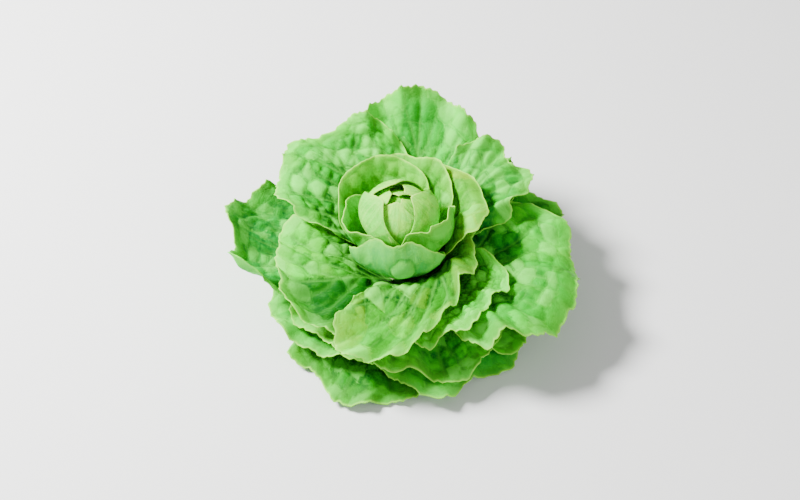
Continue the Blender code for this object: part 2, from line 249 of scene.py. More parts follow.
# GROUND LEAVES. Seven old leaves at the bottom of the head, spread flat so that they touch what it stands on.
# A leaf is a thin wet blade on a fleshy midrib. Its side veins fan out to the rim, and the tissue between
# them is blistered. Leaves are laid one by one, lowest first, so that each rests on those under it.

# Where a blade starts on the crown, its thickness, and how far its midrib stands out, in mm. The midrib ends
# at a share of the blade's length and is as wide as a share of its half width.
ROOT_REACH = 17.0
BLADE = 0.8
RIB = 1.5
RIB_END = 0.85
RIB_HALF_WIDTH = 0.17

# How full a blade's outline is at its sides and tip, how far round its rays go, and over how many mm from
# its root the waves of its edge grow.
OUTLINE_SIDE_POWER = 2.5
OUTLINE_TIP_POWER = 2.2
SIDE_END = 0.85
EDGE_EASE_REACH = 50.0

# How many mm leaves keep apart at some distances from the crown, and how far the lowest keep off the floor.
GAPS = [(17, 1.4), (45, 2.5), (95, 4.0)]
FLOOR_GAP = 0.3

# The grid on which the leaves are laid, over how many of its cells a leaf evens out what it rests on, the
# most that a steep blade widens its gap, and the mm over which it comes to rest.
REACH_STEP = 1.0
REACH_END = 190.0
TURN_CELLS = 300
SETTLE_REACH_CELLS = 9
SETTLE_TURN_CELLS = 7
STEEPEST = 3.5
REST_BLEND = 2.0


@dataclass
class Leaf:
    """One leaf: the way it points, the climb of its root and the course of its midline in (radius, height).

    cup, fold and tilt lift its sides, curl turns its rim down, sweep swings its tip round in degrees, and
    ruffle, waves and phase wave its edge. lobe is how uneven its outline is. outline, where given, is the
    blade's length across its width, in points of (v, share of the length) from one side to the other.
    """

    name: str
    azimuth: float
    root: float
    course: list
    width: float
    cup: float = 0.0
    fold: float = 0.0
    tilt: float = 0.0
    curl: float = 3.0
    sweep: float = 0.0
    ruffle: float = 7.0
    waves: float = 5.0
    phase: float = 0.0
    lobe: float = 0.04
    outline: tuple = ()


def smooth_course(points, per_span=24):
    """A smooth curve through the points, as rows of (radius, height)."""
    p = np.array(points, float)
    p = np.vstack([2 * p[0] - p[1], p, 2 * p[-1] - p[-2]])
    t = np.linspace(0, 1, per_span, endpoint=False)[:, None]
    spans = [
        0.5
        * (
            2 * p[i]
            + (p[i + 1] - p[i - 1]) * t
            + (2 * p[i - 1] - 5 * p[i] + 4 * p[i + 1] - p[i + 2]) * t**2
            + (3 * p[i] - p[i - 1] - 3 * p[i + 1] + p[i + 2]) * t**3
        )
        for i in range(1, len(p) - 2)
    ]
    return np.vstack([*spans, p[-2]])


def rib_depth(v, share):
    """How far the midrib stands out of the underside, deepest at the root and fading towards the tip."""
    return RIB * np.clip(1 - share / RIB_END, 0, 1) * np.clip(1 - np.abs(v) / RIB_HALF_WIDTH, 0, 1)


class Blade:
    """A leaf's midline and outline, worked out from its course and width."""

    def __init__(self, leaf):
        self.leaf = leaf
        root = math.radians(leaf.root)
        start = (HUB_RADIUS + ROOT_REACH * math.cos(root), HUB_HEIGHT + ROOT_REACH * math.sin(root))
        line = smooth_course([start, *leaf.course])
        self.radius = line[:, 0]
        out, up = line[:, 0] - HUB_RADIUS, line[:, 1] - HUB_HEIGHT
        self.reach = np.maximum.accumulate(np.hypot(out, up))
        self.reach += np.linspace(0, 1e-6, len(line))
        self.climb = np.arctan2(up, out)
        self.along = np.concatenate([[0], np.cumsum(np.hypot(*np.diff(line, axis=0).T))])
        self.length = self.along[-1]
        share = np.clip(self.along / self.length, 0, 1)
        side = (1 - share**OUTLINE_TIP_POWER) ** (1 / OUTLINE_SIDE_POWER)
        self.half_turn = 0.5 * leaf.width / (self.radius * side).max()

    def edge_share(self, v):
        """The blade's length along the ray at v as a share of its whole length, before the lobes."""
        if self.leaf.outline:
            return np.interp(v, *smooth_course(self.leaf.outline).T)
        return np.clip(1 - np.abs(v) ** OUTLINE_SIDE_POWER, 1e-4, 1) ** (1 / OUTLINE_TIP_POWER)

    def edge_length(self, v):
        """How far the blade runs along the ray at v, from -1 at one side through 0 at the midline to 1."""
        round_edge = 2 / math.pi * np.arcsin(np.clip(v, -1, 1))
        leaf = self.leaf
        lobes = np.sin(4.3 * math.pi * round_edge + 2 * leaf.phase)
        lobes = 1 + leaf.lobe * (lobes + 0.6 * np.sin(6.1 * math.pi * round_edge + 5 * leaf.phase))
        return self.length * lobes * self.edge_share(v)

    def turn_at(self, v, along):
        """The angle round the axis of a point of the blade."""
        share = along / self.length
        return math.radians(self.leaf.azimuth) + math.radians(self.leaf.sweep) * share**2 + v * self.half_turn

    def place(self, reach, turn):
        """(along, v, u) of a point of the hub's coordinates; u is 1 at the blade's edge."""
        along = np.interp(reach, self.reach, self.along)
        along = along + np.maximum(reach - self.reach[-1], 0)
        share = along / self.length
        middle = math.radians(self.leaf.azimuth) + math.radians(self.leaf.sweep) * share**2
        v = ((turn - middle + math.pi) % (2 * math.pi) - math.pi) / self.half_turn
        return along, v, along / self.edge_length(v)

    def wanted_climb(self, reach, turn):
        """The climb angle that the leaf would take with nothing under it."""
        leaf = self.leaf
        along, v, u = self.place(reach, turn)
        radius = np.interp(reach, self.reach, self.radius)
        across = np.clip(v, -1, 1) * self.half_turn * radius / (0.5 * leaf.width)
        share = np.clip(along / self.length, 0, 1.1)
        u = np.clip(u, 0, 1.1)
        rise = (leaf.cup * across**2 + leaf.tilt * across) * share
        rise = rise + leaf.fold * (np.sqrt(across**2 + 0.04) - 0.2) * share
        round_edge = 2 / math.pi * np.arcsin(np.clip(v, -1, 1))
        edge_rise = leaf.ruffle * u**3 * np.sin(leaf.waves * math.pi * round_edge + leaf.phase)
        edge_rise = edge_rise - leaf.curl * np.clip((u - 0.75) / 0.25, 0, 1.4) ** 2
        rise = rise + edge_rise * np.clip((reach - ROOT_REACH) / EDGE_EASE_REACH, 0, 1)
        return np.interp(reach, self.reach, self.climb) + rise / reach


def spread(field, reach_cells, turn_cells, widest):
    """The field's running maximum, or its running mean, over a window; the turn axis closes on itself."""
    for axis, cells in ((1, turn_cells), (0, reach_cells)):
        if axis == 1:
            shifted = [np.roll(field, k, axis=1) for k in range(-cells, cells + 1)]
        else:
            padded = np.pad(field, ((cells, cells), (0, 0)), mode="edge")
            shifted = [padded[k : k + len(field)] for k in range(2 * cells + 1)]
        field = np.max(shifted, axis=0) if widest else np.mean(shifted, axis=0)
    return field


def rested(wanted, top, gap, blend):
    """The climb of a blade that wants one course and lies at least a gap above what is under it."""
    support = spread(top + gap, SETTLE_REACH_CELLS, SETTLE_TURN_CELLS, True)
    support = spread(support, SETTLE_REACH_CELLS, SETTLE_TURN_CELLS, False)
    above = wanted - support
    return support + 0.5 * (above + np.hypot(above, blend))


class Heap:
    """The leaves laid so far: the climb of the topmost blade all round the hub."""

    def __init__(self):
        self.reach = np.arange(ROOT_REACH, REACH_END, REACH_STEP)[:, None]
        self.turn = np.linspace(0, 2 * math.pi, TURN_CELLS, endpoint=False)[None, :]
        self.gap = np.interp(self.reach, *zip(*GAPS))
        ground = -np.arcsin(np.clip((HUB_HEIGHT - BLADE / 2 - FLOOR_GAP) / self.reach, 0, 1))
        self.ground = ground + np.zeros_like(self.turn)
        self.top = self.ground - self.gap / self.reach
        self.blades = []

    def lay(self, leaf):
        """A blade for the leaf, with its climb field, resting on what lies under it."""
        reach = self.reach
        blade = Blade(leaf)
        wanted = blade.wanted_climb(reach, self.turn)
        along, v, u = blade.place(reach, self.turn)
        near = (u < 1.08) & (np.abs(v) < 1.05)
        own_gap = self.gap + rib_depth(v, along / blade.length)
        blade.field = rested(wanted, self.top, own_gap / reach, REST_BLEND / reach)
        steep = reach * np.gradient(blade.field, REACH_STEP, axis=0)
        wide_gap = own_gap * np.clip(np.hypot(1, steep), 1, STEEPEST)
        blade.field = rested(wanted, self.top, wide_gap / reach, REST_BLEND / reach)
        self.top = np.where(near, np.maximum(self.top, blade.field), self.top)
        blade.near = near
        self.blades.append(blade)
        return blade

    def room(self, blade, lid):
        """(above, below): the free mm over and under a blade, to the next leaves, the ground and the lid."""
        here = self.blades.index(blade)
        above, below = lid + np.zeros_like(self.turn), self.ground
        for other in self.blades[here + 1 :]:
            above = np.where(other.near, np.minimum(above, other.field), above)
        for other in self.blades[:here]:
            below = np.where(other.near, np.maximum(below, other.field), below)
        above = spread(-spread(-above, 2, 2, True), 2, 2, False)
        below = spread(spread(below, 2, 2, True), 2, 2, False)
        return (above - blade.field) * self.reach, (blade.field - below) * self.reach


def cubic_weights(t):
    """Weights of the four grid points round a place t between the middle two."""
    return (
        0.5 * (-t + 2 * t**2 - t**3),
        0.5 * (2 - 5 * t**2 + 3 * t**3),
        0.5 * (t + 4 * t**2 - 3 * t**3),
        0.5 * (-(t**2) + t**3),
    )


def field_at(field, reach, turn):
    """The climb field read smoothly between its grid points."""
    i = np.clip((reach - ROOT_REACH) / REACH_STEP, 0, len(field) - 1.001)
    j = (turn % (2 * math.pi)) / (2 * math.pi) * TURN_CELLS
    i0, j0 = np.floor(i).astype(int), np.floor(j).astype(int)
    climb = 0
    for di, wi in zip((-1, 0, 1, 2), cubic_weights(i - i0)):
        row = np.clip(i0 + di, 0, len(field) - 1)
        for dj, wj in zip((-1, 0, 1, 2), cubic_weights(j - j0)):
            climb = climb + wi * wj * field[row, (j0 + dj) % TURN_CELLS]
    return climb


# Where the side veins leave the midrib, as shares of its length, and where they end, as places across.
VEIN_STARTS = (0.02, 0.09, 0.20, 0.35, 0.53)
VEIN_ENDS = (0.92, 0.75, 0.56, 0.36, 0.17)


def vein_lines(blade, dice):
    """(main, forks): the midrib with its side veins, and their forks.

    Each vein is (points, width at the start, width at the end), drawn on the blade laid out flat, in mm
    across the midline and along it.
    """

    def flat(v, along):
        return np.stack([v * blade.half_turn * np.interp(along, blade.along, blade.radius), along], axis=-1)

    length = blade.length
    t = np.linspace(0, 1, 12)
    main = [(flat(0 * t, t * 0.97 * blade.edge_length(0)), 2.6, 0.6)]
    forks = []
    for side in (-1, 1):
        for start, end in zip(VEIN_STARTS, VEIN_ENDS):
            start = length * (start + 0.03 * (side > 0) + dice.uniform(0, 0.03))
            end = side * (end + dice.uniform(-0.03, 0.03))
            to = 0.98 * blade.edge_length(end)
            sway = dice.uniform(-0.02, 0.02) * np.sin(t * dice.uniform(5, 9))
            v = end * (1 - (1 - t) ** 1.7) + sway
            along = start + (to - start) * t**1.15
            main.append((flat(v, along), 1.5, 0.5))
            for fork, lean in ((0.36, -0.085), (0.58, 0.075)):
                here = np.interp(fork, t, v), np.interp(fork, t, along)
                tip = np.clip(end + side * lean * dice.uniform(0.8, 1.4), -0.97, 0.97)
                s = t[::2]
                v_fork = here[0] + (tip - here[0]) * (1 - (1 - s) ** 1.5)
                along_fork = here[1] + (0.985 * blade.edge_length(tip) - here[1]) * s
                forks.append((flat(v_fork, along_fork), 0.8, 0.35))
    return main, forks


def nearest_vein(flat, lines):
    """(distance to the nearest vein, how much of a vein each point is) over a grid of flat points."""
    distance = np.full(flat.shape[:2], 1e3)
    vein = np.zeros(flat.shape[:2])
    for line, wide, narrow in lines:
        widths = np.linspace(wide, narrow, len(line))
        for a, b, width in zip(line[:-1], line[1:], widths):
            step = b - a
            t = np.clip(((flat - a) @ step) / max(step @ step, 1e-9), 0, 1)
            away = np.linalg.norm(flat - a - t[..., None] * step, axis=-1)
            distance = np.minimum(distance, away / (0.6 + 0.4 * width))
            vein = np.maximum(vein, np.exp(-((away / width) ** 2)) * min(1, 0.45 + 0.3 * width))
    return distance, vein


def blister_cells(flat, size, dice):
    """(0 on the borders and 1 in the middle, a number of its own) for irregular cells of about that size."""
    low, high = flat.min(axis=(0, 1)) - size, flat.max(axis=(0, 1)) + size
    across, along = np.meshgrid(np.arange(low[0], high[0], size), np.arange(low[1], high[1], size))
    seeds = np.stack([across.ravel(), along.ravel()], axis=-1)
    seeds += dice.uniform(-0.42, 0.42, seeds.shape) * size
    near = np.full(flat.shape[:2], 1e3)
    second = near.copy()
    own = np.zeros_like(near)
    for seed in seeds:
        away = np.linalg.norm(flat - seed, axis=-1)
        second = np.minimum(second, np.maximum(near, away))
        own = np.where(away < near, dice.uniform(), own)
        near = np.minimum(near, away)
    return np.clip((second - near) / (0.62 * size), 0, 1) ** 0.8, own


def random_waves(q, spacing, dice):
    """Uneven waves along q, in mm, that swing to the other side at every spacing."""
    x = (q - q.min()) / spacing + 0.5 * dice.uniform()
    swings = dice.uniform(0.35, 1.0, int(x.max()) + 3)
    swings[1::2] *= -1
    cell = np.floor(x).astype(int)
    part = x - cell
    part = part * part * (3 - 2 * part)
    return swings[cell] * (1 - part) + swings[cell + 1] * part


def sheet_faces(rows, columns):
    """Faces of a closed thin sheet: an upper grid of points, the lower grid after it, and the rim between."""
    i, j = np.meshgrid(np.arange(rows), np.arange(columns), indexing="ij")
    a = (i * (columns + 1) + j).ravel()
    b, c, d = a + columns + 1, a + columns + 2, a + 1
    many = (rows + 1) * (columns + 1)
    faces = [*np.stack([a, b, c, d], axis=-1).tolist()]
    faces += (np.stack([a, d, c, b], axis=-1) + many).tolist()
    rim = [r * (columns + 1) for r in range(rows + 1)]
    rim += [rows * (columns + 1) + s for s in range(1, columns + 1)]
    rim += [r * (columns + 1) + columns for r in range(rows - 1, -1, -1)]
    rim += list(range(columns - 1, 0, -1))
    faces += [(q, p, many + p, many + q) for p, q in zip(rim, rim[1:] + rim[:1])]
    return faces


def grid_normals(points):
    """The direction square to a grid of points at each of them."""
    normal = np.cross(np.gradient(points, axis=0), np.gradient(points, axis=1))
    return normal / np.linalg.norm(normal, axis=-1, keepdims=True)


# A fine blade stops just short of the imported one, and its rim is notched by a share of its length.
OUTLINE_SHARE = 0.985
NOTCH = 0.010

# How far apart the notches, folds, frills and blisters lie, and the least gap that they leave, in mm.
NOTCH_SPACINGS = (3.1, 7.3)
FOLD_SPACING = 15.0
FRILL_SPACING = 5.5
BLISTER_SIZE = 13.0
LEAST_GAP = 0.5


class Sheet:
    """The fine mesh of one leaf. It is made flat, and swells when every leaf has been laid."""

    def __init__(self, blade, rows, columns, blister, folds, frill, size=BLISTER_SIZE, notch=NOTCH):
        leaf = blade.leaf
        dice = np.random.default_rng(int(leaf.azimuth * 7 + leaf.phase * 100))
        self.blade = blade
        v = np.sin(np.linspace(-SIDE_END, SIDE_END, columns + 1)[None, :] * math.pi / 2)
        u = 1 - (1 - np.linspace(0, 1, rows + 1)[:, None]) ** 1.25
        edge = blade.edge_length(v) * OUTLINE_SHARE
        q = self.rim_path(v, edge)
        teeth = sum(random_waves(q, spacing, dice) for spacing in NOTCH_SPACINGS) - 1.2
        along = u * edge * (1 + notch * teeth * u**5)
        self.reach = np.interp(along, blade.along, blade.reach) + np.maximum(along - blade.length, 0)
        self.turn = blade.turn_at(v, along)
        self.v, self.u, self.share = v + 0 * u, u + 0 * v, along / blade.length
        radius = np.interp(along, blade.along, blade.radius)
        self.flat = np.stack([v * blade.half_turn * radius, along], axis=-1)
        main, forks = vein_lines(blade, dice)
        distance, self.vein = nearest_vein(self.flat, main)
        self.vein = np.maximum(self.vein, nearest_vein(self.flat, forks)[1])
        self.cells, self.own = blister_cells(self.flat, size, dice)
        body = np.clip((self.share - 0.12) / 0.25, 0, 1)
        self.puff = (1 - np.exp(-((distance / 2.3) ** 2))) * (0.15 + 0.85 * self.cells) * body
        eased = np.clip((self.reach - ROOT_REACH) / EDGE_EASE_REACH, 0, 1)
        self.swell = blister * (self.puff - 0.4 * body) * (1 - 0.5 * u**6)
        self.swell = self.swell + folds * u**4 * eased * random_waves(q, FOLD_SPACING, dice)
        self.swell = self.swell + frill * u**10 * eased * random_waves(q, FRILL_SPACING, dice)
        self.turned = 0 * self.u
        self.shade = 0 * self.u
        to_side = (1.0 - np.abs(v)) * blade.half_turn * radius * 1.3 + 40 * (1 - u)
        self.to_edge = np.minimum(edge * (1 - u), to_side)

    def rim_path(self, v, edge):
        """How far each ray's end lies along the rim, in mm."""
        blade = self.blade
        radius = np.interp(edge, blade.along, blade.radius)
        turn = blade.turn_at(v, edge)
        rim = np.stack([radius * np.cos(turn), radius * np.sin(turn)], axis=-1)[0]
        steps = np.linalg.norm(np.diff(rim, axis=0), axis=-1)
        return np.concatenate([[0], np.cumsum(steps)])[None, :]

    def points(self, rise):
        """Upper and lower points of the sheet with its middle raised by a grid of mm."""
        climb = field_at(self.blade.field, self.reach, self.turn) + rise / self.reach
        radius = HUB_RADIUS + self.reach * np.cos(climb)
        height = HUB_HEIGHT + self.reach * np.sin(climb)
        middle = np.stack([radius * np.cos(self.turn), radius * np.sin(self.turn), height], axis=-1)
        normal = grid_normals(middle)
        below = (BLADE / 2 + rib_depth(self.v, self.share))[..., None]
        both = np.concatenate([middle + normal * BLADE / 2, middle - normal * below]).reshape(-1, 3)
        both[:, 2] = np.maximum(both[:, 2], 0.15)
        return both

    def swollen(self, heap, lid):
        """The swell in mm, held back so that it takes less than half of the room over and under the leaf."""
        above, below = heap.room(self.blade, lid)
        up = np.maximum(0.5 * (field_at(above, self.reach, self.turn) - BLADE - LEAST_GAP), 0.05)
        down = np.maximum(0.5 * (field_at(below, self.reach, self.turn) - BLADE - LEAST_GAP), 0.05)
        return np.where(self.swell > 0, up * np.tanh(self.swell / up), down * np.tanh(self.swell / down))


def build_leaf(sheet, finish, tint, painted_shade_side=0.0):
    """One leaf's piece from its sheet. tint is how (yellow, mint, deep) its green is; the last number is
    painted shade.

    The last argument paints the half where v is above 0 a deeper green still, as the painted shade of a fold.
    """
    leaf = sheet.blade.leaf
    rows, columns = sheet.u.shape[0] - 1, sheet.u.shape[1] - 1
    faces = sheet_faces(rows, columns)
    piece = mesh_piece(leaf.name + "_blade", sheet.points(0), faces, leaf.name, finish)
    painted_shade_half = painted_shade_side * np.clip((sheet.v + 0.05) / 0.08, 0, 1) * (1 - 0.5 * sheet.u**6)
    values = {
        "vein": sheet.vein * (0.35 + 0.65 * np.clip(1.3 - sheet.u, 0, 1)),
        "margin": np.exp(-((sheet.to_edge / 1.4) ** 2)),
        "border": np.exp(-((sheet.to_edge / 12.0) ** 2)),
        "puff": sheet.puff,
        "cell": sheet.cells,
        "patch": sheet.own,
        "outward": sheet.share,
        "turned": sheet.turned,
        "yellow": tint[0] + 0 * sheet.u,
        "mint": tint[1] + 0 * sheet.u,
        "deep_and_shade": tint[2] + painted_shade_half + sheet.shade,
    }
    paint(piece, **{name: np.concatenate([grid, grid]) for name, grid in values.items()})
    paint(piece, under=np.concatenate([0 * sheet.u, 0 * sheet.u + 1]))
    shift = (leaf.azimuth % 7, leaf.azimuth % 11)
    lay_out_flat(piece, np.concatenate([sheet.flat, sheet.flat]).reshape(-1, 2) / 100 + shift)
    sheet.piece = piece
    return sheet


def lay_out_flat(piece, flat):
    """Stores the flat layout as the piece's texture coordinates, in units of 100 mm."""
    layer = piece.data.uv_layers.new(name="flat")
    corners = np.empty(len(piece.data.loops), np.int32)
    piece.data.loops.foreach_get("vertex_index", corners)
    layer.data.foreach_set("uv", flat[corners].astype(np.float32).ravel())


# How many times the patterns of a leaf's colour repeat over 100 mm, and its least and most roughness.
WASH_SCALE = 2.6
WARMTH_SCALE = 3.6
BLOTCH_SCALE = 8.0
NET_SCALE = 26.0
LEAF_ROUGHNESS = (0.44, 0.64)


def leaf_finish(name, light, middle, deep_and_shade, vein, rim, sunny):
    """Wet living leaf: a wash of greens, pale and dark blisters, pale veins and rim, a net of small veins.

    The base colour is built up in layers, as the leaf's tissue is seen: wash, blisters, dark blotches mixed
    with painted shade, and tints, then the lines on it, more painted shade, and last its rim and its
    underside.
    """
    look = Finish(name)
    place = look.node("UVMap", {"uv_map": "flat"}).outputs["UV"]
    wash = look.node("TexNoise", Vector=place, Scale=WASH_SCALE, Detail=3.0, Roughness=0.55).outputs["Fac"]
    blotch = look.node("TexNoise", Vector=place, Scale=BLOTCH_SCALE, Detail=4.0, Roughness=0.6).outputs["Fac"]
    warmth = look.node("TexNoise", Vector=place, Scale=WARMTH_SCALE, Detail=2.0).outputs["Color"]
    net = look.node("TexVoronoi", {"feature": "DISTANCE_TO_EDGE"}, Vector=place, Scale=NET_SCALE)
    net_line = look.steps(net.outputs["Distance"], (0.0, 1), (0.07, 0))
    tone = look.blend(look.steps(wash, (0.43, 0), (0.52, 1)), middle, light)
    warm = look.times(look.steps(warmth, (0.50, 0), (0.60, 1)), 0.5)
    tone = look.blend(warm, tone, LEAF_WARM)
    yellow = look.times(look.stored("yellow"), look.steps(wash, (0.4, 1), (0.6, 0.5)))
    tone = look.blend(yellow, tone, sunny)
    dark_cell = look.times(look.steps(look.stored("patch"), (0.30, 1), (0.34, 0)), 0.7)
    tone = look.blend(dark_cell, tone, middle)
    # Painted shade along the veins, in the hollows between the blisters, and near the root.
    hollow_shade = look.steps(look.stored("puff"), (0.1, 1), (0.6, 0))
    # The mask for the deep green mixes dark blotches of the tissue with painted shade: in the blister
    # hollows, from each leaf's own number, and towards the root.
    dark_and_shade = look.times(look.steps(blotch, (0.48, 0), (0.56, 1)), 0.4)
    dark_and_shade = look.plus(dark_and_shade, look.times(hollow_shade, 0.5))
    dark_and_shade = look.plus(dark_and_shade, look.stored("deep_and_shade"))
    # Painted shade: the green darkens towards the root, where the leaves crowd round the heart.
    dark_and_shade = look.plus(dark_and_shade, look.steps(look.stored("outward"), (0.3, 0.8), (0.68, 0)))
    dark_and_shade = look.less(dark_and_shade, look.times(look.stored("border"), 0.5))
    tone = look.blend(dark_and_shade, tone, deep_and_shade)
    cool = look.times(look.stored("mint"), look.steps(blotch, (0.3, 1), (0.7, 0.3)))
    tone = look.blend(cool, tone, LEAF_MINT)
    tone = look.blend(look.times(look.stored("border"), 0.2), tone, rim)
    pale_cell = look.steps(look.stored("patch"), (0.62, 0), (0.66, 1))
    pale_middle = look.times(pale_cell, look.steps(look.stored("cell"), (0.1, 0), (0.5, 0.5)))
    tone = look.blend(pale_middle, tone, LEAF_PALE)
    cell_line = look.steps(look.stored("cell"), (0.05, 1), (0.20, 0))
    cell_line = look.times(cell_line, look.plus(look.times(pale_cell, 0.5), 0.2))
    tone = look.blend(cell_line, tone, vein)
    tone = look.blend(look.times(net_line, 0.10), tone, vein)
    tone = look.blend(look.times(look.stored("vein"), 0.6), tone, vein)
    # Painted shade: each leaf's own number darkens it further towards the shade green.
    tone = look.blend(look.times(look.stored("deep_and_shade"), 0.8), tone, LEAF_SHADE)
    tone = look.blend(look.times(look.stored("margin"), 0.9), tone, rim)
    tone = look.blend(look.times(look.stored("under"), 0.4), tone, LEAF_UNDER)
    tone = look.blend(look.times(look.stored("turned"), 0.8), tone, vein)
    look.feed(look.shader.inputs["Base Color"], tone)
    relief = look.less(look.times(blotch, 0.6), look.times(net_line, 0.25))
    bump = look.node("Bump", Height=relief, Strength=0.5, Distance=0.0012)
    look.feed(look.shader.inputs["Normal"], bump.outputs["Normal"])
    least, most = LEAF_ROUGHNESS
    shine = look.node("MapRange", Value=blotch, From_Min=0.3, From_Max=0.7, To_Min=least, To_Max=most)
    look.feed(look.shader.inputs["Roughness"], shine.outputs["Result"])
    look.set(Specular_IOR_Level=0.05)
    look.set(Subsurface_Weight=0.08, Subsurface_Scale=0.002, Subsurface_Radius=(0.4, 1.0, 0.2))
    return look.material


# The leaves of this ring, lowest first: the azimuth and the climb of the root in degrees, then the course
# in (radius, height) mm and the width in mm. Below them, how (yellow, mint, deep) each one's green is; the
# last number is painted shade, darker as it grows and lighter below 0.
GROUND_LEAVES = [
    Leaf("ground_leaf_front_left", 246, -48, [(46, 13), (92, 11), (132, 4)], 138, phase=0.4),
    Leaf("ground_leaf_front_right", 297, -45, [(46, 14), (88, 12), (124, 5)], 142, phase=2.1),
    Leaf("ground_leaf_left", 207, -44, [(50, 17), (92, 20), (122, 24)], 132, phase=1.0, cup=6),
    Leaf("ground_leaf_right", 345, -43, [(50, 16), (95, 16), (127, 16)], 130, phase=3.0),
    Leaf("ground_leaf_back_right", 42, -45, [(50, 16), (95, 20), (130, 24)], 130, phase=4.0),
    Leaf("ground_leaf_back", 100, -42, [(50, 17), (95, 22), (128, 26)], 128, phase=5.2),
    Leaf("ground_leaf_back_left", 155, -38, [(50, 20), (95, 25), (132, 31)], 130, phase=0.9),
]
GROUND_TINTS = {
    "ground_leaf_front_left": (0.05, 0.0, 0.5),
    "ground_leaf_front_right": (0.1, 0.35, -0.1),
    "ground_leaf_left": (0.0, 0.2, 0.15),
}
GROUND_TINT = (0.0, 0.05, 0.2)

LEAF_LIGHT = colour(0.02, 0.68, 0.002)
LEAF_MIDDLE = colour(0.004, 0.38, 0.002)
LEAF_DEEP_AND_SHADE = colour(0.0, 0.060, 0.003)
LEAF_VEIN = colour(0.12, 0.70, 0.04)
LEAF_RIM = colour(0.32, 0.82, 0.07)
LEAF_WARM = colour(0.07, 0.54, 0.0)
LEAF_MINT = colour(0.0, 0.30, 0.10)
LEAF_YELLOW = colour(0.20, 0.46, 0.0)
LEAF_UNDER = colour(0.05, 0.50, 0.02)
LEAF_PALE = colour(0.16, 0.82, 0.07)
LEAF_SHADE = colour(0.0, 0.10, 0.002)

outer_leaf = leaf_finish("outer_leaf", LEAF_LIGHT, LEAF_MIDDLE, LEAF_DEEP_AND_SHADE, LEAF_VEIN, LEAF_RIM, LEAF_YELLOW)
heap = Heap()
sheets = []
for leaf in GROUND_LEAVES:
    sheet = Sheet(heap.lay(leaf), rows=56, columns=88, blister=1.8, folds=4.5, frill=1.0)
    tint = GROUND_TINTS.get(leaf.name, GROUND_TINT)
    sheets.append(build_leaf(sheet, outer_leaf, tint))


# LOW LEAVES. The next six leaves, raised off the ground ones and half covered by those above. They are the
# same tissue, painted a deeper green as shade where little light reaches them, and the left one is cupped
# like a spoon.

LOW_LEAVES = [
    Leaf("low_leaf_front_left", 231, -25, [(45, 31), (82, 33), (110, 24)], 134, phase=2.4),
    Leaf("low_leaf_front_right", 286, -20, [(45, 31), (85, 31), (118, 17)], 142, phase=0.2),
    Leaf("low_leaf_left", 176, -14, [(50, 34), (98, 40), (132, 54), (149, 72)], 124, cup=14, phase=1.8,
         curl=0),
    Leaf("low_leaf_right", 20, -18, [(50, 34), (95, 43), (140, 50)], 108, cup=4, phase=3.9),
    Leaf("low_leaf_back_right", 52, -10, [(48, 40), (86, 58), (122, 76)], 108, phase=5.0),
    Leaf("low_leaf_back_left", 112, -12, [(48, 39), (90, 58), (124, 74)], 120, phase=2.7),
]
LOW_TINTS = {
    "low_leaf_front_left": (0.25, 0.0, 0.1),
    "low_leaf_left": (0.0, 0.35, 0.12),
    "low_leaf_right": (0.0, 0.1, 0.45),
    "low_leaf_back_right": (0.0, 0.1, 0.5),
}
LOW_TINT = (0.0, 0.05, 0.25)


def turn_up_rim(sheet, band, lift):
    """Turns up the rim of the leaf's front side, so that a band of its pale underside faces outwards."""
    sheet.turned = np.exp(-((sheet.to_edge / band) ** 4)) * np.clip((sheet.v - 0.05) / 0.25, 0, 1)
    sheet.swell = sheet.swell * (1 - sheet.turned) + lift * sheet.turned


for leaf in LOW_LEAVES:
    sheet = Sheet(heap.lay(leaf), rows=64, columns=96, blister=3.0, folds=4.0, frill=1.0, size=11.0)
    if leaf.name == "low_leaf_left":
        turn_up_rim(sheet, band=9.0, lift=6.0)
    tint = LOW_TINTS.get(leaf.name, LOW_TINT)
    sheets.append(build_leaf(sheet, outer_leaf, tint))


# OPEN LEAVES. Seven broad leaves that spread round the heart and face the eye. Each is a full-grown blade,
# blistered between its veins, and the front one rolls outwards like a lapel. Most have their painted shade
# taken down, so that they show the brightest green, as leaves that lie in the light.

# The front leaf is longest to the left and short on the right, where it stands up against the heart.
FRONT_OUTLINE = (
    (-1, 0.56), (-0.85, 0.81), (-0.7, 0.95), (-0.5, 0.98), (-0.25, 0.86), (0, 0.73), (0.2, 0.60), (0.5, 0.52),
    (0.8, 0.50), (1, 0.42),
)

OPEN_LEAVES = [
    Leaf("open_leaf_back", 81, 3, [(46, 47), (88, 76), (119, 103), (127, 115)], 114, phase=0.5, curl=0,
         lobe=0.015),
    Leaf("open_leaf_right", 340, 0, [(46, 42), (90, 57), (128, 62), (150, 54)], 156, phase=1.3, curl=5),
    Leaf("open_leaf_front_right", 307, 7, [(43, 45), (68, 55), (94, 48), (112, 34)], 110, phase=4.4, tilt=18),
    Leaf("open_leaf_front_left", 230, 12, [(40, 50), (59, 63), (86, 64), (114, 54)], 122, fold=-14, tilt=-24,
         sweep=-34, phase=3.3, curl=0),
    Leaf("open_leaf_back_right", 35, 9, [(43, 50), (68, 70), (98, 82), (125, 78)], 78, phase=2.2),
    Leaf("open_leaf_back_left", 132, 15, [(41, 52), (64, 76), (96, 88), (126, 83)], 134, phase=0.1, curl=5),
    Leaf("open_leaf_front", 308, 24, [(38, 54), (53, 72), (67, 74), (88, 65), (108, 52), (122, 38)], 150,
         tilt=22, sweep=-32, phase=5.5, curl=2, lobe=0.02, outline=FRONT_OUTLINE),
]
OPEN_TINTS = {
    "open_leaf_back": (0.0, 0.15, -0.15),
    "open_leaf_right": (0.05, 0.1, -0.15),
    "open_leaf_front_right": (0.05, 0.0, -0.15),
    "open_leaf_front_left": (0.2, 0.0, -0.1),
    "open_leaf_back_right": (0.1, 0.2, 0.05),
    "open_leaf_back_left": (0.1, 0.1, 0.0),
    "open_leaf_front": (0.6, 0.0, -0.1),
}

